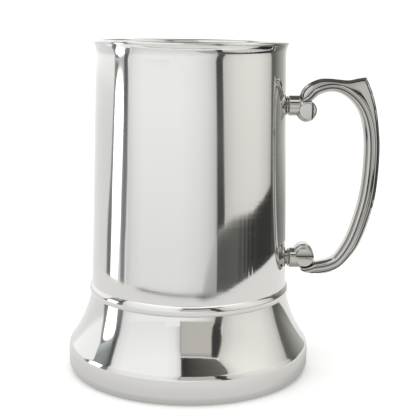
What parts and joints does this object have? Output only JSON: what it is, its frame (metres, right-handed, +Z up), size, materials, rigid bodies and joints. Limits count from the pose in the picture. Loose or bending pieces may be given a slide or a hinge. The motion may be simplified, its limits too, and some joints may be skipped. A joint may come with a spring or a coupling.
{
  "type": "tankard",
  "caption": "Double-walled open tankard with a flared lip, bell-shaped foot, waist ring and a cast C handle on turned collars.",
  "frame": {"origin": "centre of the flat foot, on the surface that the tankard stands on", "axes": "+Z up along the cup's axis, +X from the axis towards the handle"},
  "size_m": [0.1433, 0.1126, 0.152],
  "materials": {
    "polished_shell": "mirror polished sheet with faint circular buffing lines",
    "polished_liner": "polished lip, satin inside",
    "cast_handle": "mirror polished casting",
    "turned_fittings": "polished turned metal",
    "plain_hardware": "plain steel, hidden inside the wall"
  },
  "bodies": {
    "root": {"outer_barrel": "polished_shell", "inner_cup": "polished_liner", "waist_ring": "polished_shell", "bell_skirt": "polished_shell", "foot_pan": "polished_shell", "handle": "cast_handle", "upper_collar": "turned_fittings", "lower_collar": "turned_fittings", "upper_neck_ring": "turned_fittings", "lower_neck_ring": "turned_fittings", "upper_wall_plate": "plain_hardware", "lower_wall_plate": "plain_hardware", "upper_screw": "plain_hardware", "lower_screw": "plain_hardware"}
  },
  "joints": []
}
